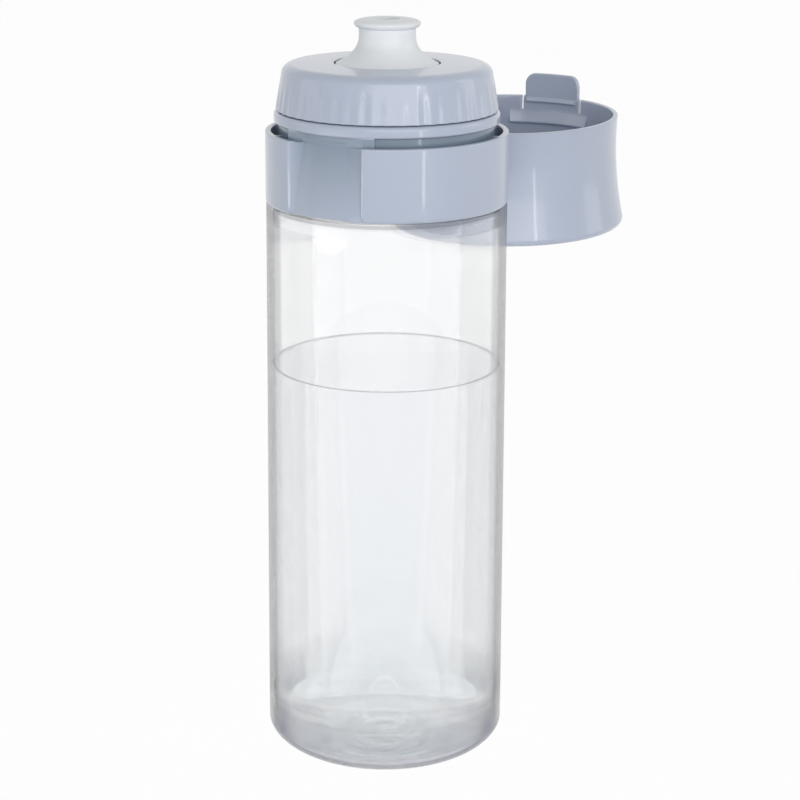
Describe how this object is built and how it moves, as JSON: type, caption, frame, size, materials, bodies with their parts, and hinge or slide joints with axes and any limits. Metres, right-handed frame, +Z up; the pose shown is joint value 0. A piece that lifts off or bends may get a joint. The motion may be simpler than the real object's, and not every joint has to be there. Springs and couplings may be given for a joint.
{
  "type": "filter water bottle",
  "caption": "Clear water bottle with a pale blue-grey collar, hinged flip cap, push-pull mouthpiece and a filter disc held in its screw lid.",
  "frame": {"origin": "centre of the flat pad under the base, on the bottle's axis", "axes": "+Z up along the bottle, -Y towards the latch recess, +Y towards the cap's hinge"},
  "size_m": [0.077, 0.155, 0.2287],
  "materials": {
    "clear_body": "clear, glossy copolyester",
    "tinted_plastic": "pale blue-grey, smooth satin moulding",
    "white_plastic": "white, smooth",
    "pin_steel": "plain",
    "silicone": "translucent white, soft",
    "carbon": "bound carbon granules",
    "fleece": "thin non-woven"
  },
  "bodies": {
    "bottle": {"bottle_body": "clear_body", "neck_collar": "tinted_plastic", "hinge_pin": "pin_steel"},
    "cap": {"flip_cap": "tinted_plastic"},
    "lid_seal": {"lid_gasket": "silicone"},
    "lid": {"screw_lid": "tinted_plastic", "spout_seal": "silicone", "vent_valve": "silicone"},
    "spout": {"mouthpiece": "white_plastic"},
    "filter": {"filter_holder": "tinted_plastic", "filter_disc": "carbon", "disc_fleece_top": "fleece", "disc_fleece_bottom": "fleece", "disc_seal_ring": "silicone"}
  },
  "joints": [
    {"name": "cap_hinge", "type": "hinge", "parent": "bottle", "child": "cap", "pos_m": [0, 0.03934, 0.19259], "axis": [-1, 0, 0], "range_deg": [-178.5, 0]},
    {"name": "lid_lift", "type": "slide", "parent": "bottle", "child": "lid_seal", "axis": [0, 0, 1], "range_m": [0, 0.05]},
    {"name": "lid_turn", "type": "hinge", "parent": "lid_seal", "child": "lid", "pos_m": [0, 0, 0.2127], "axis": [0, 0, 1], "range_deg": [0, 360]},
    {"name": "mouthpiece_pull", "type": "slide", "parent": "lid", "child": "spout", "axis": [0, 0, 1], "range_m": [-0.005, 0]},
    {"name": "holder_drop", "type": "slide", "parent": "lid", "child": "filter", "axis": [0, 0, -1], "range_m": [0, 0.025]}
  ]
}
